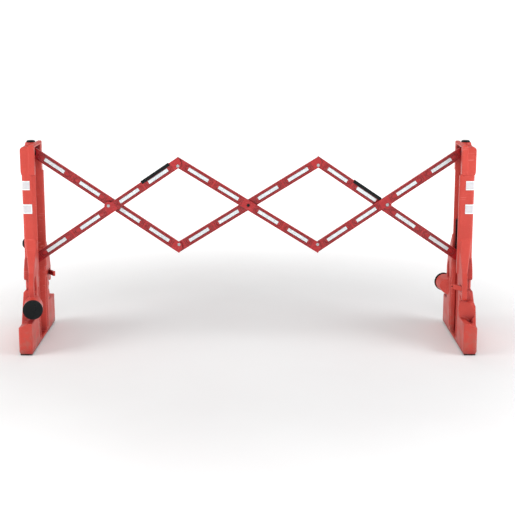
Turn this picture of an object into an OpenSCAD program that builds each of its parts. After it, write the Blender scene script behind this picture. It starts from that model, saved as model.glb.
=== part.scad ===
// Expanding road barrier: two upright plastic end panels joined by a folding trellis of six bars.
// Frame: X along the span, Y front to back, Z up. Origin: on the ground, in the middle.
// Turning the whole barrier half a turn about Z maps it onto itself, so each piece of the
// right half is the matching piece of the left half turned by 180 degrees.

/* [Trellis] */
// Distance between neighbouring pivots of one bar
cell_arm = 407.5; // [380:0.5:420]
// Distance from an outer crossing to the panel pivot
panel_arm = 465; // [450:0.5:480]
// Slope of the line between neighbouring pivots when fully open
open_angle = 29.9; // [28:0.1:31]
// Height of the three crossings when fully open
cross_z = 702; // [690:1:710]
// Width of a trellis bar
bar_w = 48; // [46:1:50]
// Thickness of a trellis bar
bar_t = 12; // [11:0.5:12.5]
// Distance between the centres of two bar layers
layer_pitch = 13; // [13:0.5:14]
// Offset of a vertex pivot from the bar's centre line
vertex_offset = 13; // [11:0.5:14]
// Offset of an outer crossing from the bar's centre line
lug_offset = 17; // [15:0.5:18]
// Radius of the round lug at an outer crossing
lug_r = 21; // [19:0.5:23]
// How far a squared bar end runs past its vertex pivot
vertex_run = 25; // [22:0.5:28]
// Width of the pockets in the bars
pocket_w = 27; // [24:0.5:30]
// Depth of the pockets in the bars
pocket_depth = 4.2; // [3:0.1:4.5]
// Length of a pocket between two trellis pivots
short_pocket = 157; // [140:1:160]
// Length of a pocket on the panel side of an outer bar
long_pocket = 188; // [170:1:190]
// Gap between the two pockets of one half
pocket_gap = 21; // [18:0.5:24]
// Length of a reflective strip
strip_len = 117; // [100:1:130]
// Width of a reflective strip
strip_w = 17; // [14:0.5:20]

/* [Pins] */
// Radius of a pivot pin
pin_r = 5; // [4:0.5:6]
// Radial clearance of a pin in a bar
pin_play = 0.05; // [0.02:0.01:0.1]
// Radius of a pin's flat head
head_r = 8; // [7:0.5:9]
// Thickness of a pin's flat head
head_t = 2.4; // [2:0.1:3]

/* [Grips] */
// Length of an edge grip
grip_len = 168; // [140:1:175]
// Distance from a top vertex pivot to the left grip
left_grip_start = 32; // [28:1:60]
// Distance from a top vertex pivot to the right grip
right_grip_start = 197; // [180:1:220]

/* [Panels] */
// Thickness of an end panel along the span
panel_t = 68; // [66:1:72]
// Depth of the trellis pivots behind the panel's inner face
pivot_inset = 24; // [22:0.5:26]
// Half of the foot's length
foot_half = 275; // [265:1:285]
// Height of the panel's underside above the ground
foot_gap = 7; // [5:0.5:9]
// Top of the foot
foot_top = 160; // [155:1:165]
// Top of the upper tier of the foot
tier_top = 290; // [285:1:295]
// Half width of the post, front side
post_front = 90; // [88:1:92]
// Half width of the post, back side
post_back = 94; // [92:1:96]
// Underside of the head
head_z = 869; // [860:1:875]
// Top of the head's outer part
head_top = 1010; // [1005:1:1012]
// Depth of the channel that takes the folded trellis
channel_depth = 60; // [58:0.5:61]
// Half width of the channel at its mouth
channel_mouth = 68; // [66:0.5:70]
// Half width of the channel at its floor
channel_floor = 54; // [52:0.5:56]
// Thickness of the hollow foot's walls
wall = 5; // [4:0.5:6]

/* [Fittings] */
// Radius of the filler neck
neck_r = 45; // [44:0.5:46]
// Radius of the bore in the filler neck
neck_bore = 30; // [28:0.5:32]
// Radius of the filler cap
cap_r = 48.5; // [48:0.5:50]
// Height of the filler neck's axis
neck_z = 230; // [228:1:234]
// Radius of the lock knob
knob_r = 24.5; // [22:0.5:26]
// Height of the lock knob
knob_z = 515; // [510:1:520]
// Radius of the lamp socket's cap
lamp_cap_r = 22; // [20:0.5:24]
// Length of the slider plate above its pivot
slider_run = 190; // [170:1:195]
// Length of the swinging hook from its pin to its tip
hook_len = 69; // [60:1:72]
// Height of the swinging hook's centre
hook_z = 311; // [308:1:314]

/* [Hidden] */
$fn = 64;

// Colours.
panel_red = [0.80, 0.24, 0.20];
bar_red = [0.72, 0.13, 0.15];
jet = [0.08, 0.09, 0.10];
zinc = [0.72, 0.73, 0.74];
reflective = [0.85, 0.91, 0.92];

// Trellis geometry. Bars are drawn along local X, with local Z across and local Y through them.
lug_turn = asin((vertex_offset + lug_offset) / cell_arm);
panel_turn = asin(lug_offset / panel_arm);
inner_turn = asin(vertex_offset / cell_arm);
panel_slope = open_angle + lug_turn + panel_turn;
outer_slope = open_angle + lug_turn;
inner_slope = open_angle + inner_turn;
outer_vertex = sqrt(pow(cell_arm, 2) - pow(vertex_offset + lug_offset, 2));
outer_panel = sqrt(pow(panel_arm, 2) - pow(lug_offset, 2));
inner_vertex = sqrt(pow(cell_arm, 2) - pow(vertex_offset, 2));
cross_x = 2 * cell_arm * cos(open_angle);
vertex_x = cell_arm * cos(open_angle);
vertex_rise = cell_arm * sin(open_angle);
panel_pivot_x = cross_x + panel_arm * cos(panel_slope);
panel_pivot_rise = panel_arm * sin(panel_slope);
half_span = panel_pivot_x - pivot_inset;
top_z = cross_z + panel_pivot_rise;
slider_z = cross_z - panel_pivot_rise;
layer_y = [for (k = [0:3]) (k - 1.5) * layer_pitch];

// Details that follow the driving sizes.
eps = 0.01;
rim_w = 3.5;
rim_depth = 2.2;
lip_w = 2.5;
strip_t = 1;
bore_r = pin_r + pin_play;
sink_r = head_r + 0.3;
sink_depth = head_t + 0.2;
grip_reach = 12;
grip_proud = 4.5;
grip_lip = 2;
grip_rebate = 1.6;
grip_ribs = 13;
grip_rib_r = 1.4;
pocket_start = 33;
cross_slot = 25;
tape_t = 0.6;
corner = 10;
boss_u = 28;
boss_y = 178;
boss_z = 199;
boss_r = 51;
boss_turn = 40;
neck_u = -6;
neck_tilt = 9;
neck_len = 117;
cap_t = 9.8;
channel_base = 17;
channel_top = head_top - 6;
plate_t = 4;
plate_z = 914;
ear_y = 33;
screw_r = 2.5;
screw_z = [924, 948];
bush_r = 10;
knob_y = -52;
knob_shaft_r = 6;
lamp_u = 34;
lamp_top = 1024;
lamp_bore = 16;
hook_u = 6;
hook_y = 172;
hook_pin_r = 3;
hook_slope = -51;
hook_h = 24;
slot_z0 = 19;
slot_z1 = 655;

// Half the barrier turned into the other half.
module far_half() rotate([0, 0, 180]) children();

// A profile drawn in (Y, Z), standing between two depths behind the left panel's inner face.
module slab(u0, u1) translate([-half_span - u1, 0, 0]) rotate([90, 0, 90])
    linear_extrude(u1 - u0) children();

// A profile drawn in (depth, Y), rising between two heights.
module upright(z0, z1) translate([-half_span, 0, z0]) mirror([1, 0, 0])
    linear_extrude(z1 - z0) children();

// A profile drawn in (depth, Z), running between two Y positions.
module across(y0, y1) translate([-half_span, y1, 0]) mirror([1, 0, 0]) rotate([90, 0, 0])
    linear_extrude(y1 - y0) children();

// A box given by its depth, Y and Z limits.
module block(u, y, z) slab(u[0], u[1]) translate([y[0], z[0]]) square([y[1] - y[0], z[1] - z[0]]);

// A round bar along Y, along X or upright, at a depth behind the inner face.
module along_y(r, u, z, y0, y1) translate([-half_span - u, y1, z]) rotate([90, 0, 0])
    cylinder(r = r, h = y1 - y0);
module along_x(r, y, z, u0, u1) translate([-half_span - u1, y, z]) rotate([0, 90, 0])
    cylinder(r = r, h = u1 - u0);
module along_z(r, u, y, z0, z1) translate([-half_span - u, y, z0]) cylinder(r = r, h = z1 - z0);

// A round bar on the filler neck's tilted axis, between two distances inwards from the cap's face.
module on_neck(r, w0, w1) translate([-half_span - neck_u, cap_r * sin(neck_tilt) - foot_half, neck_z])
    rotate([0, 0, neck_tilt]) translate([0, w1, 0]) rotate([90, 0, 0]) cylinder(r = r, h = w1 - w0);

// Plan of the post: a chamfered front, a rounded outside and a plain back.
post_plan = [
    [0, -channel_mouth - 4], [18, -post_front], [panel_t - corner, -post_front],
    [panel_t, -post_front + corner], [panel_t, post_back - corner],
    [panel_t - corner, post_back], [0, post_back]
];

module post() {
    upright(tier_top - 40, head_z + 40) polygon(post_plan);
    // Raised lip along the back edge of the channel.
    upright(365, head_z)
        polygon([[-7, 70], [-7, 90], [0, post_back], [4, post_back], [4, channel_mouth - 4]]);
}

module head() {
    outer_part = [[0, head_z], [panel_t, head_z], [panel_t + 3.5, head_z + 16],
        [panel_t + 3.5, head_top - 14],
        [panel_t - 2, head_top - 4], [panel_t - 12, head_top], [0, head_top]];
    inner_part = [[0, head_z], [27, head_z], [27, head_top + 4], [20, head_top + 10],
        [4, head_top + 10], [0, head_top + 6]];
    across(-post_front + 1, post_back + 2) polygon(outer_part);
    across(-post_front - 3, post_back + 6) polygon(inner_part);
    translate([-half_span - lamp_u, 0, head_top - 5]) cylinder(r1 = 31, r2 = 27, h = lamp_top - head_top + 5);
}

module foot() {
    intersection() {
        slab(0, panel_t) translate([-foot_half, foot_gap]) square([2 * foot_half, foot_top - foot_gap]);
        across(-foot_half, foot_half) polygon([[0, foot_gap], [panel_t - 6, foot_gap],
            [panel_t, foot_gap + 8],
            [panel_t, foot_top - 22], [25, foot_top], [0, foot_top]]);
        upright(foot_gap, foot_top) polygon([[0, -foot_half], [panel_t - corner, -foot_half],
            [panel_t, -foot_half + corner], [panel_t, foot_half - corner],
            [panel_t - corner, foot_half], [0, foot_half]]);
    }
}

// A round bar square to the slanting face of the boss, between two distances from that face.
module on_boss(r, w0, w1) translate([-half_span - boss_u, boss_y, boss_z]) rotate([0, 0, boss_turn])
    translate([w0, 0, 0]) rotate([0, 90, 0]) cylinder(r = r, h = w1 - w0);

module upper_tier() {
    difference() {
        tier_blocks();
        on_boss(boss_r + 5, -6, 90);
    }
    // Round boss that faces inwards and back.
    intersection() {
        on_boss(boss_r, -60, 0);
        block([-20, panel_t - 4], [90, 240], [130, 260]);
    }
}

module tier_blocks() {
    // The front half is plain, the back half has a step on its outer edge.
    base = foot_top - 30;
    intersection() {
        slab(0, panel_t) polygon([[-204, base], [-139, tier_top - 6], [-133, tier_top], [0, tier_top],
            [0, base]]);
        across(-210, 0) polygon([[0, base], [panel_t, base], [panel_t, tier_top - 8],
            [panel_t - 8, tier_top], [0, tier_top]]);
    }
    slab(0, 50) polygon([[0, base], [180, base], [168, 235], [134, tier_top], [0, tier_top]]);
    slab(50 - eps, panel_t) polygon([[0, base], [237, base], [211, 232], [170, 240], [134, tier_top - 4],
        [0, tier_top - 4]]);
}

// Side handles: a plate beside the post that bows out and ends in a free tip.
module handles() {
    slab(0, 26) polygon([[-80, 540], [-96, 530], [-155, 450], [-192, 392], [-208, 335], [-207, 272],
        [-200, 262], [-190, 264], [-186, 275], [-185, 340], [-172, 366], [-152, 372], [-140, 330],
        [-134, tier_top - 5], [-80, tier_top - 5]]);
    slab(0, 26) polygon([[80, 540], [96, 530], [155, 450], [192, 392], [208, 335], [206, 270], [196, 256],
        [182, 262], [150, 275], [134, tier_top - 10], [80, tier_top - 10]]);
    for (side = [-1, 1]) {
        post_y = side < 0 ? post_front : post_back;
        // Facets that run from the full post face down into the handle.
        hull() {
            block([8, 60], side < 0 ? [-post_y, -80] : [80, post_y], [515, 545]);
            block([1, 25], side < 0 ? [-191, -150] : [150, 191], [380, 396]);
        }
        // Swelling beside the handle on the panel's outer part.
        slab(34, panel_t) polygon([for (p = [[80, 455], [94, 440], [112, 395], [120, 350], [112, 338], [80, 338]])
            [side * p[0], p[1]]]);
    }
}

module channel() {
    upright(channel_base, channel_top) polygon([[-8, -channel_mouth], [channel_depth, -channel_floor],
        [channel_depth, channel_floor], [-8, channel_mouth]]);
}

// Upright grooves beside the lower channel.
module grooves() {
    for (y = [76, 91]) {
        block([-1, 9], [y, y + 9], [34, y < 80 ? 360 : 300]);
        block([-1, 9], [-y - 9, -y], [34, y < 80 ? 384 : 300]);
    }
}

// Hollow ballast chambers of the foot.
module chambers() {
    slab(13, panel_t - wall) polygon([[-106, 20], [-foot_half + 8, 20], [-foot_half + 8, 128], [-186, 128],
        [-186, 155], [-132, tier_top - 8], [-80, tier_top - 8], [-80, 190], [-106, 170]]);
    slab(13, panel_t - wall) polygon([[106, 20], [foot_half - 8, 20], [foot_half - 8, 128], [134, 128],
        [134, 230], [118, tier_top - 8], [80, tier_top - 8], [80, 190], [106, 170]]);
}

module panel_shell() {
    color(panel_red) difference() {
        union() {
            post();
            head();
            foot();
            upper_tier();
            handles();
        }
        channel();
        grooves();
        chambers();
        on_neck(neck_r, -20, neck_len);
        // Slot that guides the slider's tongue.
        block([21.5, 34.5], [-66.6, -50], [slot_z0, slot_z1]);
        // Bores for the lock knob, the lamp socket and the hook's pin.
        along_x(knob_shaft_r + pin_play, knob_y, knob_z, 40, panel_t + 1);
        along_z(lamp_bore, lamp_u, 0, head_top - 2, lamp_top + 1);
        block([-1, 14], [hook_y - 14, hook_y + 16], [hook_z - 14, hook_z + 14]);
        along_z(hook_pin_r + pin_play, hook_u, hook_y, hook_z - 24, hook_z + 24);
    }
    // Two moulded ribs at the top of the channel.
    color(panel_red) for (y = [-44, 44])
        block([34, channel_depth + 1], [y - 6, y + 6], [head_top - 52, channel_top + 1]);
}

// Filler neck: a tube with a port in its end wall into the foot's chamber.
module filler_neck() {
    color(panel_red) difference() {
        on_neck(neck_r, cap_t + 0.2, neck_len);
        // The end beside the channel slopes away from the inner face.
        upright(neck_z - 60, neck_z + 60) polygon([[-80, -130], [-80, -215], [0, -150], [0, -130]]);
        on_neck(neck_bore, 0, 80);
        along_y(8, 22, neck_z, -200, -140);
    }
}

module foot_pads() {
    color(jet) for (side = [-1, 1])
        block([6, panel_t - 6], side < 0 ? [-foot_half + 4, -205] : [205, foot_half - 4], [0, foot_gap]);
}

// One band wrapped round the post's outside, from depth a on the front to depth b on the back.
module band(a, b, z0, z1) {
    upright(z0, z1) polygon([
        [a, -post_front], [panel_t - corner, -post_front], [panel_t, -post_front + corner],
        [panel_t, post_back - corner], [panel_t - corner, post_back], [b, post_back],
        [b, post_back + tape_t], [panel_t - corner + tape_t / 2, post_back + tape_t],
        [panel_t + tape_t, post_back - corner + tape_t / 2], [panel_t + tape_t, -post_front + corner - tape_t / 2],
        [panel_t - corner + tape_t / 2, -post_front - tape_t], [a, -post_front - tape_t]
    ]);
}

module reflective_bands() {
    color(reflective) {
        band(27, 24, 794, 840);
        band(19, 24, 674, 722);
    }
}

module lamp_cap() {
    color(jet) translate([-half_span - lamp_u, 0, 0]) {
        translate([0, 0, lamp_top]) cylinder(r = lamp_cap_r, h = 5);
        translate([0, 0, lamp_top + 5]) cylinder(r1 = lamp_cap_r, r2 = lamp_cap_r - 5, h = 4);
        translate([0, 0, lamp_top - 14]) cylinder(r = lamp_bore - pin_play, h = 14);
    }
}

// U-shaped bracket on the channel's floor that carries a bar's upper end between two ears.
module top_bracket() {
    back = channel_depth - plate_t;
    color(jet) difference() {
        union() {
            block([back, channel_depth], [-ear_y, ear_y], [plate_z, plate_z + 46]);
            for (side = [-1, 1]) intersection() {
                block([4, channel_depth], side < 0 ? [-ear_y, plate_t + 1 - ear_y] : [ear_y - plate_t - 1, ear_y],
                    [plate_z, top_z + 20]);
                across(-40, 40) polygon([[channel_depth, plate_z], [channel_depth, top_z - 6],
                    [pivot_inset + 14, top_z + 17], [pivot_inset - 12, top_z + 17],
                    [pivot_inset - 20, top_z + 4], [pivot_inset - 20, top_z - 14],
                    [channel_depth - 10, plate_z]]);
            }
        }
        along_y(bore_r, pivot_inset, top_z, -40, 40);
        for (z = screw_z) along_x(screw_r + pin_play, 0, z, back - 2, channel_depth + 2);
    }
}

module bracket_screws() {
    back = channel_depth - plate_t;
    color(zinc) for (z = screw_z) {
        along_x(screw_r, 0, z, back, channel_depth);
        along_x(2 * screw_r, 0, z, back - 2.5, back);
    }
}

module top_pin() {
    color(zinc) {
        along_y(pin_r, pivot_inset, top_z, -ear_y - 2.5, ear_y + 2.5);
        along_y(head_r, pivot_inset, top_z, -ear_y - 2.5, -ear_y - 0.1);
        along_y(head_r - 1, pivot_inset, top_z, ear_y + 0.1, ear_y + 2.5);
    }
}

// Bushes that keep the bar centred between the ears.
module top_bushes() {
    ear_face = ear_y - plate_t - 1.1;
    color(jet) difference() {
        union() {
            along_y(bush_r, pivot_inset, top_z, -ear_face, layer_y[1] - bar_t / 2 - 0.2);
            along_y(bush_r, pivot_inset, top_z, layer_y[1] + bar_t / 2 + 0.2, ear_face);
        }
        along_y(bore_r, pivot_inset, top_z, -40, 40);
    }
}

module slider() {
    color(jet) difference() {
        union() {
            block([10, 44], [-56, -48], [slider_z - 14, slider_z + slider_run]);
            block([22, 34], [-66, -56 + eps], [slider_z - 14, slider_z + slider_run]);
            along_y(13, pivot_inset, slider_z, -50, layer_y[0] - bar_t / 2 - 0.3);
        }
        along_y(bore_r, pivot_inset, slider_z, -70, 0);
        // Lightening windows in the plate.
        for (k = [0:3]) block([17, 20], [-60, -40], [slider_z + 30 + 40 * k, slider_z + 56 + 40 * k]);
    }
}

module slider_pin() {
    color(zinc) {
        along_y(pin_r, pivot_inset, slider_z, -56, layer_y[0] + bar_t / 2 - 0.2);
        along_y(head_r, pivot_inset, slider_z, layer_y[0] + bar_t / 2 - 0.2 - head_t, layer_y[0] + bar_t / 2 - 0.2);
    }
}

module lock_knob() {
    color(jet) {
        along_x(knob_shaft_r, knob_y, knob_z, 44.5, panel_t + 1);
        along_x(knob_r, knob_y, knob_z, panel_t + 0.3, panel_t + 6);
        translate([-half_span - panel_t - 13, knob_y, knob_z]) rotate([0, 90, 0])
            cylinder(r1 = knob_r - 9, r2 = knob_r, h = 7 + eps);
    }
}

module filler_cap() {
    color(jet) difference() {
        union() {
            on_neck(cap_r, 0, cap_t);
            on_neck(neck_bore - pin_play, cap_t - 0.1, cap_t + 20);
        }
        on_neck(cap_r - 3.5, -1, 1.2);
        on_neck(1.5, -1, 4);
        on_neck(neck_bore - 4, cap_t + 2, cap_t + 21);
    }
}

module hook() {
    color(panel_red) translate([-half_span - hook_u, hook_y, hook_z]) rotate([0, 0, hook_slope])
    difference() {
        union() {
            translate([0, 0, -hook_h / 2]) cylinder(r = 6, h = hook_h);
            translate([0, -4, -hook_h / 2]) cube([hook_len - 7, 8, hook_h]);
            translate([hook_len - 7, 0, -hook_h / 2]) cylinder(r = 7, h = hook_h);
        }
        translate([0, 0, -hook_h]) cylinder(r = hook_pin_r + pin_play, h = 2 * hook_h);
        translate([hook_len - 9, 20, 0]) rotate([90, 0, 0]) cylinder(r = 3.5, h = 40);
    }
}

module hook_pin() {
    color(zinc) along_z(hook_pin_r, hook_u, hook_y, hook_z - 23.5, hook_z + 23.5);
}

// Trellis bars.

module obround(length, width) {
    translate([-(length - width) / 2, -width / 2]) square([length - width, width]);
    for (side = [-1, 1]) translate([side * (length - width) / 2, 0]) circle(d = width);
}

// A flat shape drawn in (along, across), standing through the bar between two Y positions.
module through(y0, y1) translate([0, y1, 0]) rotate([90, 0, 0]) linear_extrude(y1 - y0) children();

// Pocket centres and lengths of one bar half that starts at a pivot and runs inwards.
function half_pockets(pivot, sense, first, length) = [for (k = [0, 1])
    [pivot + sense * (first + length / 2 + k * (length + pocket_gap)), length]];
outer_pockets = concat(half_pockets(-outer_panel, 1, pocket_start + 2, long_pocket),
    half_pockets(outer_vertex, -1, pocket_start, short_pocket));
inner_pockets = concat(half_pockets(-inner_vertex, 1, pocket_start, short_pocket),
    half_pockets(inner_vertex, -1, pocket_start, short_pocket));

// Squared end past a vertex pivot with its inner corner cut off. sense: end of the bar, side: inner side.
module vertex_end(pivot, sense, side) {
    tip = pivot + vertex_run;
    outline = [[pivot - 30, -bar_w / 2], [tip, -bar_w / 2], [tip, 6], [tip - 18, bar_w / 2],
        [pivot - 30, bar_w / 2]];
    polygon([for (p = outline) [sense * p[0], side * p[1]]]);
}

module outer_outline() {
    translate([-outer_panel, -bar_w / 2]) square([outer_panel + outer_vertex - 20, bar_w]);
    translate([-outer_panel, 0]) circle(d = bar_w);
    translate([0, -lug_offset]) circle(r = lug_r);
    vertex_end(outer_vertex, 1, 1);
}

module inner_outline() {
    translate([-inner_vertex + 20, -bar_w / 2]) square([2 * inner_vertex - 40, bar_w]);
    vertex_end(inner_vertex, 1, 1);
    vertex_end(inner_vertex, -1, -1);
}

// Recesses that both faces of a bar share: the sunk web between the rims, and the pockets.
module face_recesses(pockets) {
    for (face = [-1, 1]) {
        depth = face < 0 ? [-bar_t / 2 - 1, -bar_t / 2 + rim_depth] : [bar_t / 2 - rim_depth, bar_t / 2 + 1];
        deep = face < 0 ? [-bar_t / 2 - 1, -bar_t / 2 + pocket_depth]
            : [bar_t / 2 - pocket_depth, bar_t / 2 + 1];
        through(depth[0], depth[1]) difference() {
            for (p = pockets) translate([p[0] - p[1] / 2 - 6, -bar_w / 2 + rim_w])
                square([p[1] + 12, bar_w - 2 * rim_w]);
            for (p = pockets) translate([p[0], 0]) obround(p[1], pocket_w + 2 * lip_w);
        }
        through(deep[0], deep[1]) for (p = pockets) translate([p[0], 0]) obround(p[1] - 2 * lip_w, pocket_w);
    }
}

// Pin hole with a counterbore on one face. face: -1 front, 1 back, 0 none.
module pin_hole(x, z, face, slot = 0) {
    translate([x, 0, z]) {
        rotate([90, 0, 0]) cylinder(r = bore_r, h = 2 * bar_t, center = true);
        if (face != 0)
            through(face < 0 ? -bar_t : bar_t / 2 - sink_depth, face < 0 ? -bar_t / 2 + sink_depth : bar_t)
            if (slot > 0) obround(slot, 2 * sink_r); else circle(r = sink_r);
    }
}

module grip_cut(start) {
    for (face = [-1, 1]) {
        y = face < 0 ? [-bar_t / 2 - 1, -bar_t / 2 + grip_rebate] : [bar_t / 2 - grip_rebate, bar_t / 2 + 1];
        through(y[0], y[1]) translate([outer_vertex - start - grip_len - 0.2, -bar_w / 2 - 1])
            square([grip_len + 0.4, grip_reach + 1.2]);
    }
}

module down_bar() difference() {
    through(-bar_t / 2, bar_t / 2) outer_outline();
    face_recesses(outer_pockets);
    pin_hole(-outer_panel, 0, 0);
    pin_hole(0, -lug_offset, 1, cross_slot);
    pin_hole(outer_vertex, vertex_offset, -1);
}

module up_bar(start) difference() {
    through(-bar_t / 2, bar_t / 2) outer_outline();
    face_recesses(outer_pockets);
    pin_hole(-outer_panel, 0, 1);
    pin_hole(0, -lug_offset, -1);
    pin_hole(outer_vertex, vertex_offset, -1);
    grip_cut(start);
}

module middle_bar() difference() {
    through(-bar_t / 2, bar_t / 2) inner_outline();
    face_recesses(inner_pockets);
    pin_hole(-inner_vertex, -vertex_offset, 1);
    pin_hole(0, 0, -1);
    pin_hole(inner_vertex, vertex_offset, -1);
}

module strips(pockets) for (face = [-1, 1], p = pockets) {
    floor_y = bar_t / 2 - pocket_depth;
    through(face < 0 ? -floor_y - strip_t : floor_y, face < 0 ? -floor_y : floor_y + strip_t)
        translate([p[0] - strip_len / 2, -strip_w / 2]) square([strip_len, strip_w]);
}

module grip(start) {
    x = outer_vertex - start - grip_len;
    edge = -bar_w / 2;
    outer_y = bar_t / 2 - grip_rebate + grip_lip;
    difference() {
        through(-outer_y, outer_y) translate([x, edge - grip_proud])
            square([grip_len, grip_proud + grip_reach]);
        through(-bar_t / 2 + grip_rebate, bar_t / 2 - grip_rebate) translate([x - 1, edge])
            square([grip_len + 2, grip_reach + 1]);
        // Finger ribs along the outer edge.
        for (k = [1:grip_ribs]) translate([x + k * grip_len / (grip_ribs + 1), 0, edge - grip_proud])
            rotate([90, 0, 0]) cylinder(r = grip_rib_r, h = 4 * bar_t, center = true);
    }
}

// Where each bar of the left half sits.
module at_left_down() translate([-cross_x, layer_y[1], cross_z]) rotate([0, outer_slope, 0])
    translate([0, 0, lug_offset]) children();
module at_left_up() translate([-cross_x, layer_y[0], cross_z]) mirror([0, 0, 1]) rotate([0, outer_slope, 0])
    translate([0, 0, lug_offset]) children();
module at_middle_down() translate([0, layer_y[1], cross_z]) rotate([0, inner_slope, 0]) children();

// A pin with flat heads sunk into the outer faces of two neighbouring layers.
module trellis_pin(x, z, front_layer) {
    y0 = layer_y[front_layer] - bar_t / 2 + 0.1;
    y1 = layer_y[front_layer + 1] + bar_t / 2 - 0.1;
    translate([x, y1, z]) rotate([90, 0, 0]) {
        cylinder(r = pin_r, h = y1 - y0);
        cylinder(r = head_r, h = head_t);
        translate([0, 0, y1 - y0 - head_t]) cylinder(r = head_r, h = head_t);
    }
}

panel_shell();  // left_panel_shell
foot_pads();  // left_foot_pads
reflective_bands();  // left_reflective_bands
lamp_cap();  // left_lamp_cap
top_bracket();  // left_top_bracket
bracket_screws();  // left_bracket_screws
top_pin();  // left_top_pin
top_bushes();  // left_top_bushes
slider();  // left_slider
slider_pin();  // left_slider_pin
lock_knob();  // left_lock_knob
filler_neck();  // left_filler_neck
filler_cap();  // left_filler_cap
hook();  // left_hook
hook_pin();  // left_hook_pin
far_half() panel_shell();  // right_panel_shell
far_half() foot_pads();  // right_foot_pads
far_half() reflective_bands();  // right_reflective_bands
far_half() lamp_cap();  // right_lamp_cap
far_half() top_bracket();  // right_top_bracket
far_half() bracket_screws();  // right_bracket_screws
far_half() top_pin();  // right_top_pin
far_half() top_bushes();  // right_top_bushes
far_half() slider();  // right_slider
far_half() slider_pin();  // right_slider_pin
far_half() lock_knob();  // right_lock_knob
far_half() filler_neck();  // right_filler_neck
far_half() filler_cap();  // right_filler_cap
far_half() hook();  // right_hook
far_half() hook_pin();  // right_hook_pin
color(bar_red) at_left_down() down_bar();  // bar_left_down
color(bar_red) at_left_up() up_bar(left_grip_start);  // bar_left_up
color(bar_red) at_middle_down() middle_bar();  // bar_middle_down
color(bar_red) far_half() at_middle_down() middle_bar();  // bar_middle_up
color(bar_red) far_half() at_left_down() down_bar();  // bar_right_up
color(bar_red) far_half() at_left_up() up_bar(right_grip_start);  // bar_right_down
color(reflective) at_left_down() strips(outer_pockets);  // strips_left_down
color(reflective) at_left_up() strips(outer_pockets);  // strips_left_up
color(reflective) at_middle_down() strips(inner_pockets);  // strips_middle_down
color(reflective) far_half() at_middle_down() strips(inner_pockets);  // strips_middle_up
color(reflective) far_half() at_left_down() strips(outer_pockets);  // strips_right_up
color(reflective) far_half() at_left_up() strips(outer_pockets);  // strips_right_down
color(jet) at_left_up() grip(left_grip_start);  // grip_left
color(jet) far_half() at_left_up() grip(right_grip_start);  // grip_right
color(zinc) trellis_pin(-cross_x, cross_z, 0);  // pin_cross_left
color(jet) trellis_pin(0, cross_z, 1);  // pin_cross_middle
color(zinc) trellis_pin(cross_x, cross_z, 2);  // pin_cross_right
color(zinc) trellis_pin(-vertex_x, cross_z + vertex_rise, 0);  // pin_top_left
color(zinc) trellis_pin(-vertex_x, cross_z - vertex_rise, 1);  // pin_bottom_left
color(zinc) trellis_pin(vertex_x, cross_z + vertex_rise, 2);  // pin_top_right
color(zinc) trellis_pin(vertex_x, cross_z - vertex_rise, 1);  // pin_bottom_right
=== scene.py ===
"""Expanding road barrier: two moulded end panels joined by a folding trellis of six bars."""
import math
import bmesh
import bpy
from mathutils import Matrix, Vector


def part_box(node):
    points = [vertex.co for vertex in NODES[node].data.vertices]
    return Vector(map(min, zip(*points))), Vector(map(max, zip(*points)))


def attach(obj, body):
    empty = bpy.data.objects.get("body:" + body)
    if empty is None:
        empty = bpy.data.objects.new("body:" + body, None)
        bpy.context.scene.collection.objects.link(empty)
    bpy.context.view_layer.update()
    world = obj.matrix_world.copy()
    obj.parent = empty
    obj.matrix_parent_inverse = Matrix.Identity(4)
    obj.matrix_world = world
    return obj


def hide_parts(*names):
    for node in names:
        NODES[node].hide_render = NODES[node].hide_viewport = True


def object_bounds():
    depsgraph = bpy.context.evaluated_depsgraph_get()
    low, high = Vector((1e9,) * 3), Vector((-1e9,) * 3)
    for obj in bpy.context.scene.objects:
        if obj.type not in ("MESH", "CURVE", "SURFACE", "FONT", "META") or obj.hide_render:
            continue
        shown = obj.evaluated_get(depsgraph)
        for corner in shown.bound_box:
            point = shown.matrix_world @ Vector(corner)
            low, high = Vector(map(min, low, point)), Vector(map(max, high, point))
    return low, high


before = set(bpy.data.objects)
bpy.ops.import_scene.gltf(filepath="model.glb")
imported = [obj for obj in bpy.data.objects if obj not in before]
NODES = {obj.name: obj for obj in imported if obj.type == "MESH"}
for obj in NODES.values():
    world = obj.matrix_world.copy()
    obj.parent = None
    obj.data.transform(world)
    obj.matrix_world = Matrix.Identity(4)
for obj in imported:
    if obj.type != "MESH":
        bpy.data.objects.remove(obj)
CAD_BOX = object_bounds()
SIDES = ("left", "right")
BARS = ("left_down", "left_up", "middle_down", "middle_up", "right_up", "right_down")

# Camera: place, turn and lens for the 515 x 515 picture.
CAMERA_AT = (0.045, -4.934, 1.651)
CAMERA_PITCH = 9.46
CAMERA_YAW = 0.02
CAMERA_LENS = 69.18
CAMERA_SHIFT = -0.15

# Surroundings: strength as light, and as seen by the camera.
SKY_LIGHT = 0.44
SKY_SEEN = 1.05

# Moulding: size of the voxels that carry the rounded edges, and what is kept of them.
VOXEL = 0.0025
SMOOTH_PASSES = 7
KEPT_FACES = 0.30

# Corners of a mesh nearer to each other than this become one.
MERGE_DISTANCE = 1e-6

# Pale border of the wide tape: gone beyond the first distance from the tape's edge, whole within the second.
BORDER_OUT = 0.0062
BORDER_IN = 0.0054

# Floor: half its width, and its gap under the pads.
FLOOR_REACH = 30.0
FLOOR_GAP = 0.0005


# ---------------------------------------------------------------- shader building blocks

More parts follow.
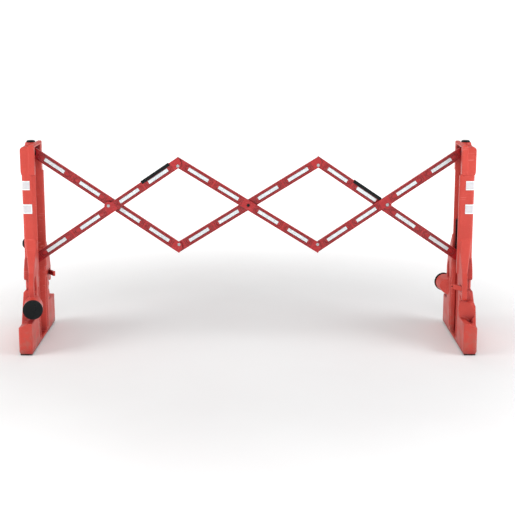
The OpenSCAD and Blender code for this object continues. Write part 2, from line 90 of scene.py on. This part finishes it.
class Shader:
    """One principled material with short calls for the nodes around it."""

    def __init__(self, name, roughness=0.5, metallic=0.0, specular=0.5):
        self.material = bpy.data.materials.new(name)
        self.material.use_nodes = True
        self.tree = self.material.node_tree
        self.tree.nodes.clear()
        out = self.tree.nodes.new("ShaderNodeOutputMaterial")
        self.bsdf = self.tree.nodes.new("ShaderNodeBsdfPrincipled")
        self.bsdf.inputs["Roughness"].default_value = roughness
        self.bsdf.inputs["Metallic"].default_value = metallic
        self.bsdf.inputs["Specular IOR Level"].default_value = specular
        self.tree.links.new(self.bsdf.outputs[0], out.inputs["Surface"])
        self.place = self.tree.nodes.new("ShaderNodeTexCoord").outputs["Object"]

    def put(self, socket, value):
        if isinstance(value, bpy.types.NodeSocket):
            self.tree.links.new(value, socket)
        else:
            socket.default_value = value

    def to(self, name, value):
        self.put(self.bsdf.inputs[name], value)

    def math(self, operation, a, b=0.0, clamp=False):
        n = self.tree.nodes.new("ShaderNodeMath")
        n.operation = operation
        n.use_clamp = clamp
        self.put(n.inputs[0], a)
        self.put(n.inputs[1], b)
        return n.outputs[0]

    def axis(self, name):
        n = self.tree.nodes.new("ShaderNodeSeparateXYZ")
        self.put(n.inputs[0], self.place)
        return n.outputs[name]

    def scaled(self, x, y, z, turn=0.0):
        n = self.tree.nodes.new("ShaderNodeMapping")
        self.put(n.inputs["Vector"], self.place)
        n.inputs["Scale"].default_value = (x, y, z)
        n.inputs["Rotation"].default_value = (0, turn, 0)
        return n.outputs[0]

    def noise(self, scale, detail=3.0, roughness=0.5, where=None):
        n = self.tree.nodes.new("ShaderNodeTexNoise")
        self.put(n.inputs["Vector"], where or self.place)
        n.inputs["Scale"].default_value = scale
        n.inputs["Detail"].default_value = detail
        n.inputs["Roughness"].default_value = roughness
        return n.outputs["Fac"]

    def cells(self, scale, feature="DISTANCE_TO_EDGE"):
        n = self.tree.nodes.new("ShaderNodeTexVoronoi")
        n.feature = feature
        self.put(n.inputs["Vector"], self.place)
        n.inputs["Scale"].default_value = scale
        return n.outputs["Distance"]

    def between(self, value, low, high, out_low=0.0, out_high=1.0):
        n = self.tree.nodes.new("ShaderNodeMapRange")
        n.interpolation_type = "SMOOTHSTEP"
        self.put(n.inputs["Value"], value)
        for socket, number in zip(n.inputs[1:5], (low, high, out_low, out_high)):
            socket.default_value = number
        return n.outputs[0]

    def mix(self, share, a, b, blend="MIX"):
        n = self.tree.nodes.new("ShaderNodeMix")
        n.data_type = "RGBA"
        n.blend_type = blend
        self.put(n.inputs[0], share)
        self.put(n.inputs[6], a)
        self.put(n.inputs[7], b)
        return n.outputs[2]

    def edges(self, radius):
        """1 along convex and concave edges, 0 on flat faces."""
        soft = self.tree.nodes.new("ShaderNodeBevel")
        soft.samples = 4
        soft.inputs["Radius"].default_value = radius
        true = self.tree.nodes.new("ShaderNodeNewGeometry")
        dot = self.tree.nodes.new("ShaderNodeVectorMath")
        dot.operation = "DOT_PRODUCT"
        self.put(dot.inputs[0], soft.outputs[0])
        self.put(dot.inputs[1], true.outputs["True Normal"])
        return self.between(dot.outputs["Value"], 0.985, 0.86)

    def hollows(self, reach, open_at, closed_at):
        """1 deep inside a recess, 0 on open faces."""
        n = self.tree.nodes.new("ShaderNodeAmbientOcclusion")
        n.samples = 6
        n.inputs["Distance"].default_value = reach
        return self.between(n.outputs["AO"], open_at, closed_at)

    def bump(self, *layers):
        """Stacks (height, distance) layers into the shader's normal."""
        normal = None
        for height, distance in layers:
            n = self.tree.nodes.new("ShaderNodeBump")
            n.inputs["Distance"].default_value = distance
            self.put(n.inputs["Height"], height)
            if normal is not None:
                self.put(n.inputs["Normal"], normal)
            normal = n.outputs[0]
        self.to("Normal", normal)


def rgb(r, g, b):
    return (r, g, b, 1.0)


def scuffs(s, scale, low, high):
    """Thin scratches in three directions, as a mask."""
    lines = None
    for turn, squeeze in ((0.35, 14.0), (1.25, 11.0), (-0.6, 17.0)):
        line = s.noise(scale, 2.0, 0.45, s.scaled(1.0, squeeze, squeeze, turn))
        mask = s.between(line, low, high)
        lines = mask if lines is None else s.math("MAXIMUM", lines, mask)
    where = s.between(s.noise(5.0, 2.0), 0.47, 0.62)
    return s.math("MULTIPLY", lines, where)


# ---------------------------------------------------------------- materials

def panel_plastic():
    """Rotationally moulded polyethylene: satin orange-red, a little uneven, dusty near the ground."""
    s = Shader("panel_polyethylene", specular=0.42)
    cloud = s.between(s.noise(7.0, 4.0, 0.55), 0.3, 0.7)
    base = s.mix(cloud, rgb(0.57, 0.050, 0.034), rgb(0.64, 0.062, 0.043))
    speck = s.between(s.noise(260.0, 2.0, 0.6), 0.58, 0.72, 0.0, 0.25)
    base = s.mix(speck, base, rgb(0.74, 0.12, 0.09))
    scratch = scuffs(s, 9.0, 0.66, 0.72)
    base = s.mix(s.math("MULTIPLY", scratch, 0.35), base, rgb(0.80, 0.27, 0.23))
    # Edges lighter: partly rubbed wear, partly a painted highlight along the rounded edges.
    edge_wear_and_highlight = s.edges(0.004)
    edge_wear_and_highlight = s.math("MULTIPLY", edge_wear_and_highlight, s.between(s.noise(30.0, 3.0), 0.35, 0.65, 0.15, 0.6))
    base = s.mix(edge_wear_and_highlight, base, rgb(0.78, 0.17, 0.13))
    # Painted shade: recesses and channels darkened toward deep crimson, where less light reaches.
    deep = s.math("MULTIPLY", s.hollows(0.075, 0.90, 0.35), 0.9)
    base = s.mix(deep, base, rgb(0.22, 0.010, 0.016))
    low = s.between(s.axis("Z"), 0.24, 0.015)
    dirt = s.math("MULTIPLY", low, s.between(s.noise(22.0, 5.0, 0.6), 0.42, 0.66, 0.0, 0.40))
    base = s.mix(dirt, base, rgb(0.30, 0.17, 0.13))
    s.to("Base Color", base)
    rough = s.between(s.noise(16.0, 4.0), 0.3, 0.7, 0.36, 0.50)
    s.to("Roughness", s.math("ADD", rough, s.math("MULTIPLY", scratch, 0.2), clamp=True))
    s.bump((s.noise(420.0, 3.0, 0.55), 0.00016), (s.noise(11.0, 2.0), 0.0022), (scratch, -0.00015))
    return s.material


def bar_plastic():
    """Injection-moulded bars: deeper crimson, glossier and finer than the panels."""
    s = Shader("bar_polypropylene", specular=0.5)
    cloud = s.between(s.noise(9.0, 3.0), 0.3, 0.7)
    base = s.mix(cloud, rgb(0.40, 0.010, 0.013), rgb(0.47, 0.015, 0.018))
    flow = s.between(s.noise(60.0, 2.0, 0.5, s.scaled(1.0, 1.0, 6.0)), 0.5, 0.75, 0.0, 0.3)
    base = s.mix(flow, base, rgb(0.58, 0.035, 0.04))
    scratch = scuffs(s, 16.0, 0.65, 0.71)
    base = s.mix(s.math("MULTIPLY", scratch, 0.4), base, rgb(0.70, 0.16, 0.16))
    # Edges lighter: partly rubbed wear, partly a painted highlight along the bar edges.
    edge_wear_and_highlight = s.math("MULTIPLY", s.edges(0.0014), s.between(s.noise(45.0, 3.0), 0.3, 0.7, 0.3, 0.8))
    base = s.mix(edge_wear_and_highlight, base, rgb(0.72, 0.10, 0.09))
    # Painted shade: creases, pockets and slots darkened toward near-black crimson.
    deep = s.math("MULTIPLY", s.hollows(0.011, 0.96, 0.55), 0.85)
    base = s.mix(deep, base, rgb(0.13, 0.004, 0.009))
    s.to("Base Color", base)
    s.to("Roughness", s.between(s.noise(34.0, 4.0), 0.3, 0.7, 0.27, 0.42))
    s.bump((s.noise(900.0, 2.0), 0.00006), (scratch, -0.0001))
    return s.material


def black_plastic():
    """Glass-filled black nylon of the caps, knobs, grips and brackets, with a fine moulded grain."""
    s = Shader("black_nylon", specular=0.16)
    cloud = s.between(s.noise(14.0, 4.0), 0.3, 0.7)
    base = s.mix(cloud, rgb(0.004, 0.005, 0.006), rgb(0.007, 0.009, 0.010))
    # Edges lighter: partly scuffed wear, partly a painted highlight along the edges.
    edge_wear_and_highlight = s.math("MULTIPLY", s.edges(0.0014), s.between(s.noise(70.0, 3.0), 0.35, 0.7, 0.1, 0.5))
    base = s.mix(edge_wear_and_highlight, base, rgb(0.10, 0.11, 0.12))
    dust = s.between(s.noise(38.0, 5.0, 0.6), 0.55, 0.78, 0.0, 0.06)
    s.to("Base Color", s.mix(dust, base, rgb(0.12, 0.115, 0.11)))
    s.to("Roughness", s.between(s.noise(55.0, 3.0), 0.3, 0.7, 0.26, 0.38))
    s.bump((s.cells(1400.0), 0.00008), (s.noise(120.0, 3.0), 0.00012))
    return s.material


def pad_rubber():
    """Dull recycled rubber with crumbs and ground dust."""
    s = Shader("pad_rubber", specular=0.3)
    crumbs = s.cells(420.0, "F1")
    base = s.mix(s.between(crumbs, 0.1, 0.6), rgb(0.035, 0.034, 0.033), rgb(0.014, 0.014, 0.014))
    dust = s.between(s.noise(40.0, 5.0, 0.6), 0.45, 0.7, 0.0, 0.45)
    s.to("Base Color", s.mix(dust, base, rgb(0.16, 0.14, 0.12)))
    s.to("Roughness", s.between(s.noise(90.0, 3.0), 0.3, 0.7, 0.72, 0.92))
    s.bump((crumbs, 0.0004), (s.noise(700.0, 2.0), 0.00015))
    return s.material


def zinc_steel():
    """Zinc-plated rivets and screws: grey, faintly mottled, dull in places."""
    s = Shader("zinc_plated_steel", metallic=1.0)
    mottle = s.between(s.noise(240.0, 4.0, 0.6), 0.35, 0.65)
    base = s.mix(mottle, rgb(0.36, 0.37, 0.38), rgb(0.55, 0.56, 0.57))
    tarnish = s.between(s.noise(90.0, 4.0), 0.55, 0.75, 0.0, 0.5)
    s.to("Base Color", s.mix(tarnish, base, rgb(0.33, 0.29, 0.24)))
    s.to("Roughness", s.between(s.noise(160.0, 3.0), 0.3, 0.7, 0.24, 0.46))
    s.bump((s.noise(1200.0, 2.0), 0.00004))
    return s.material


def sheet_colour(s, light, dark):
    """Honeycomb of a retroreflective sheet: small cells with raised pale walls."""
    walls = s.between(s.cells(330.0), 0.04, 0.10)
    tone = s.between(s.noise(24.0, 4.0), 0.35, 0.65)
    face = s.mix(tone, dark, light)
    return walls, s.mix(walls, light, face)


def band_sheet(edges_z, edge_x):
    """Wide tape on the posts: grey-lilac cells inside a pale glossy border."""
    s = Shader("band_retroreflective", roughness=0.22, specular=0.6)
    walls, face = sheet_colour(s, rgb(0.70, 0.69, 0.72), rgb(0.60, 0.59, 0.62))
    height = s.axis("Z")
    border = None
    for z in edges_z:
        near = s.between(s.math("ABSOLUTE", s.math("SUBTRACT", height, z)), BORDER_OUT, BORDER_IN)
        border = near if border is None else s.math("MAXIMUM", border, near)
    across = s.math("ABSOLUTE", s.axis("X"))
    border = s.math("MAXIMUM", border, s.between(across, edge_x + BORDER_OUT, edge_x + BORDER_IN))
    colour = s.mix(border, face, rgb(0.84, 0.93, 0.94))
    grime = s.between(s.noise(46.0, 5.0, 0.6), 0.55, 0.75, 0.0, 0.22)
    s.to("Base Color", s.mix(grime, colour, rgb(0.42, 0.38, 0.36)))
    s.to("Coat Weight", 0.35)
    s.to("Coat Roughness", 0.12)
    s.bump((walls, 0.00008))
    return s.material


def strip_sheet():
    """Narrow retroreflective strips in the pockets of the bars."""
    s = Shader("strip_retroreflective", roughness=0.25, specular=0.6)
    walls, face = sheet_colour(s, rgb(0.80, 0.89, 0.91), rgb(0.66, 0.74, 0.78))
    grime = s.between(s.noise(60.0, 5.0, 0.6), 0.5, 0.75, 0.0, 0.30)
    s.to("Base Color", s.mix(grime, face, rgb(0.42, 0.36, 0.35)))
    s.to("Coat Weight", 0.3)
    s.to("Coat Roughness", 0.15)
    s.bump((walls, 0.00008))
    return s.material


def floor_paint():
    """Plain pale floor that brightens into the white surroundings away from the object."""
    s = Shader("studio_floor", roughness=0.75, specular=0.2)
    tone = s.between(s.noise(0.8, 3.0), 0.3, 0.7)
    s.to("Base Color", s.mix(tone, rgb(0.84, 0.83, 0.83), rgb(0.87, 0.87, 0.87)))
    s.bsdf.inputs["Emission Color"].default_value = rgb(1.0, 1.0, 1.0)
    reach = s.math("SQRT", s.math("ADD", s.math("POWER", s.axis("X"), 2.0),
                                  s.math("POWER", s.axis("Y"), 2.0)))
    s.to("Emission Strength", s.between(reach, 0.9, 3.6, 0.03, 0.75))
    return s.material


# ---------------------------------------------------------------- pieces

def new_piece(name, mesh, body, slot, material, *stands_for):
    piece = bpy.data.objects.new(name, mesh)
    bpy.context.scene.collection.objects.link(piece)
    mesh.materials.clear()
    mesh.materials.append(material)
    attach(piece, body)
    if stands_for:
        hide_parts(*stands_for)
    return piece


def evaluated(mesh, *modifiers):
    """The mesh with modifiers applied. Each modifier is (type, settings)."""
    holder = bpy.data.objects.new("holder", mesh)
    bpy.context.scene.collection.objects.link(holder)
    for kind, settings in modifiers:
        modifier = holder.modifiers.new(kind.lower(), kind)
        for key, value in settings.items():
            setattr(modifier, key, value)
    bpy.context.view_layer.update()
    graph = bpy.context.evaluated_depsgraph_get()
    result = bpy.data.meshes.new_from_object(holder.evaluated_get(graph))
    bpy.data.objects.remove(holder)
    return result


def largest_island(mesh):
    """Drops every closed skin except the biggest, such as the walls of sealed hollows."""
    bm = bmesh.new()
    bm.from_mesh(mesh)
    bm.verts.ensure_lookup_table()
    seen, islands = set(), []
    for start in bm.verts:
        if start.index in seen:
            continue
        island, stack = [], [start]
        seen.add(start.index)
        while stack:
            vert = stack.pop()
            island.append(vert)
            for edge in vert.link_edges:
                other = edge.other_vert(vert)
                if other.index not in seen:
                    seen.add(other.index)
                    stack.append(other)
        islands.append(island)
    islands.sort(key=len)
    small = [vert for island in islands[:-1] for vert in island]
    bmesh.ops.delete(bm, geom=small, context="VERTS")
    bm.to_mesh(mesh)
    bm.free()


def joined(*names):
    bm = bmesh.new()
    for name in names:
        bm.from_mesh(NODES[name].data)
    bmesh.ops.remove_doubles(bm, verts=bm.verts, dist=MERGE_DISTANCE)
    mesh = bpy.data.meshes.new("joined")
    bm.to_mesh(mesh)
    bm.free()
    return mesh


def moulded_shell():
    """The left panel's outer skin with the soft edges of a hollow moulding."""
    mesh = evaluated(
        joined("left_panel_shell", "left_filler_neck"),
        ("REMESH", {"mode": "VOXEL", "voxel_size": VOXEL, "adaptivity": 0.0}),
        ("SMOOTH", {"factor": 0.5, "iterations": SMOOTH_PASSES}))
    largest_island(mesh)
    mesh = evaluated(mesh, ("DECIMATE", {"decimate_type": "COLLAPSE", "ratio": KEPT_FACES}))
    mesh.shade_smooth()
    return mesh


def panels(material):
    left = moulded_shell()
    left.name = "left_moulding"
    right = left.copy()
    right.name = "right_moulding"
    right.transform(Matrix.Rotation(math.pi, 4, "Z"))
    for side, mesh in zip(SIDES, (left, right)):
        new_piece(f"{side}_moulding", mesh, f"{side}_panel", "panel_red", material,
                  f"{side}_panel_shell", f"{side}_filler_neck")


def soften(name, material, width, segments=2, angle=28):
    """Gives a CAD node its material and small rounded edges."""
    node = NODES[name]
    node.data.materials.clear()
    node.data.materials.append(material)
    weld = node.modifiers.new("weld", "WELD")
    weld.merge_threshold = MERGE_DISTANCE
    flat = node.modifiers.new("flat", "DECIMATE")
    flat.decimate_type = "DISSOLVE"
    flat.angle_limit = math.radians(0.6)
    bevel = node.modifiers.new("bevel", "BEVEL")
    bevel.width = width
    bevel.segments = segments
    bevel.limit_method = "ANGLE"
    bevel.angle_limit = math.radians(angle)
    node.data.shade_smooth()
    node.modifiers.new("normals", "WEIGHTED_NORMAL").keep_sharp = True


def finish_nodes():
    black, zinc, bar_red = black_plastic(), zinc_steel(), bar_plastic()
    panel_red, rubber, strip = panel_plastic(), pad_rubber(), strip_sheet()
    panels(panel_red)
    heights = sorted({round(v.co.z, 4) for v in NODES["left_reflective_bands"].data.vertices})
    inner_edge = -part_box("left_reflective_bands")[1][0]
    bands = band_sheet(heights, inner_edge)
    for side in SIDES:
        soften(f"{side}_foot_pads", rubber, 0.0015)
        soften(f"{side}_reflective_bands", bands, 0.0002, 1)
        soften(f"{side}_lamp_cap", black, 0.0012)
        soften(f"{side}_top_bracket", black, 0.0008)
        soften(f"{side}_bracket_screws", zinc, 0.0005)
        soften(f"{side}_top_pin", zinc, 0.0006)
        soften(f"{side}_top_bushes", black, 0.0005)
        soften(f"{side}_slider", black, 0.0008)
        soften(f"{side}_slider_pin", zinc, 0.0006)
        soften(f"{side}_lock_knob", black, 0.0012)
        soften(f"{side}_filler_cap", black, 0.0012, 3)
        soften(f"{side}_hook", panel_red, 0.0012, 3)
        soften(f"{side}_hook_pin", zinc, 0.0004)
        soften(f"grip_{side}", black, 0.0006)
    for bar in BARS:
        soften(f"bar_{bar}", bar_red, 0.0009, 2)
        soften(f"strips_{bar}", strip, 0.0002, 1)
    for pin in ("pin_cross_left", "pin_cross_right", "pin_top_left", "pin_bottom_left",
                "pin_top_right", "pin_bottom_right"):
        soften(pin, zinc, 0.0006, 3)
    soften("pin_cross_middle", black, 0.0006, 3)


# ---------------------------------------------------------------- camera, light and floor

def camera():
    data = bpy.data.cameras.new("camera")
    data.lens = CAMERA_LENS
    data.sensor_width = 36.0
    data.shift_y = CAMERA_SHIFT
    data.clip_end = 100.0
    eye = bpy.data.objects.new("camera", data)
    eye.location = CAMERA_AT
    eye.rotation_euler = (math.radians(90 - CAMERA_PITCH), 0.0, -math.radians(CAMERA_YAW))
    bpy.context.scene.collection.objects.link(eye)
    bpy.context.scene.camera = eye


def area_light(name, place, aim, size, watts, tint=(1.0, 1.0, 1.0)):
    data = bpy.data.lights.new(name, "AREA")
    data.shape = "RECTANGLE"
    data.size, data.size_y = size
    data.energy = watts
    data.color = tint
    lamp = bpy.data.objects.new(name, data)
    lamp.location = place
    direction = Vector(aim) - Vector(place)
    lamp.rotation_euler = direction.to_track_quat("-Z", "Y").to_euler()
    bpy.context.scene.collection.objects.link(lamp)


def studio():
    """Even white surroundings, with large soft lights on both sides, in front and behind."""
    bpy.context.scene.view_settings.view_transform = "Standard"
    world = bpy.data.worlds.new("studio")
    world.use_nodes = True
    tree = world.node_tree
    sky = tree.nodes["Background"]
    sky.inputs["Color"].default_value = rgb(1.0, 1.0, 1.0)
    seen = tree.nodes.new("ShaderNodeLightPath").outputs["Is Camera Ray"]
    strength = tree.nodes.new("ShaderNodeMapRange")
    tree.links.new(seen, strength.inputs["Value"])
    strength.inputs["To Min"].default_value = SKY_LIGHT
    strength.inputs["To Max"].default_value = SKY_SEEN
    tree.links.new(strength.outputs[0], sky.inputs["Strength"])
    bpy.context.scene.world = world
    area_light("left_soft", (-4.2, -1.4, 3.0), (0.2, 0.0, 0.3), (2.6, 2.2), 90.0, (1.0, 0.985, 0.97))
    area_light("right_soft", (4.2, -1.4, 3.0), (-0.2, 0.0, 0.3), (2.6, 2.2), 90.0, (0.97, 0.985, 1.0))
    area_light("front_soft", (0.0, -4.6, 4.0), (0.0, 0.0, 0.5), (3.4, 1.6), 75.0)
    area_light("rear_soft", (0.0, 4.2, 4.2), (0.0, 0.0, 0.4), (3.6, 1.8), 45.0)


def floor():
    low = CAD_BOX[0][2]
    bm = bmesh.new()
    bmesh.ops.create_grid(bm, x_segments=8, y_segments=8, size=FLOOR_REACH)
    mesh = bpy.data.meshes.new("floor")
    bm.to_mesh(mesh)
    bm.free()
    mesh.materials.append(floor_paint())
    plate = bpy.data.objects.new("floor", mesh)
    plate.location = (0.0, 0.0, low - FLOOR_GAP)
    bpy.context.scene.collection.objects.link(plate)


camera()
studio()
floor()
finish_nodes()
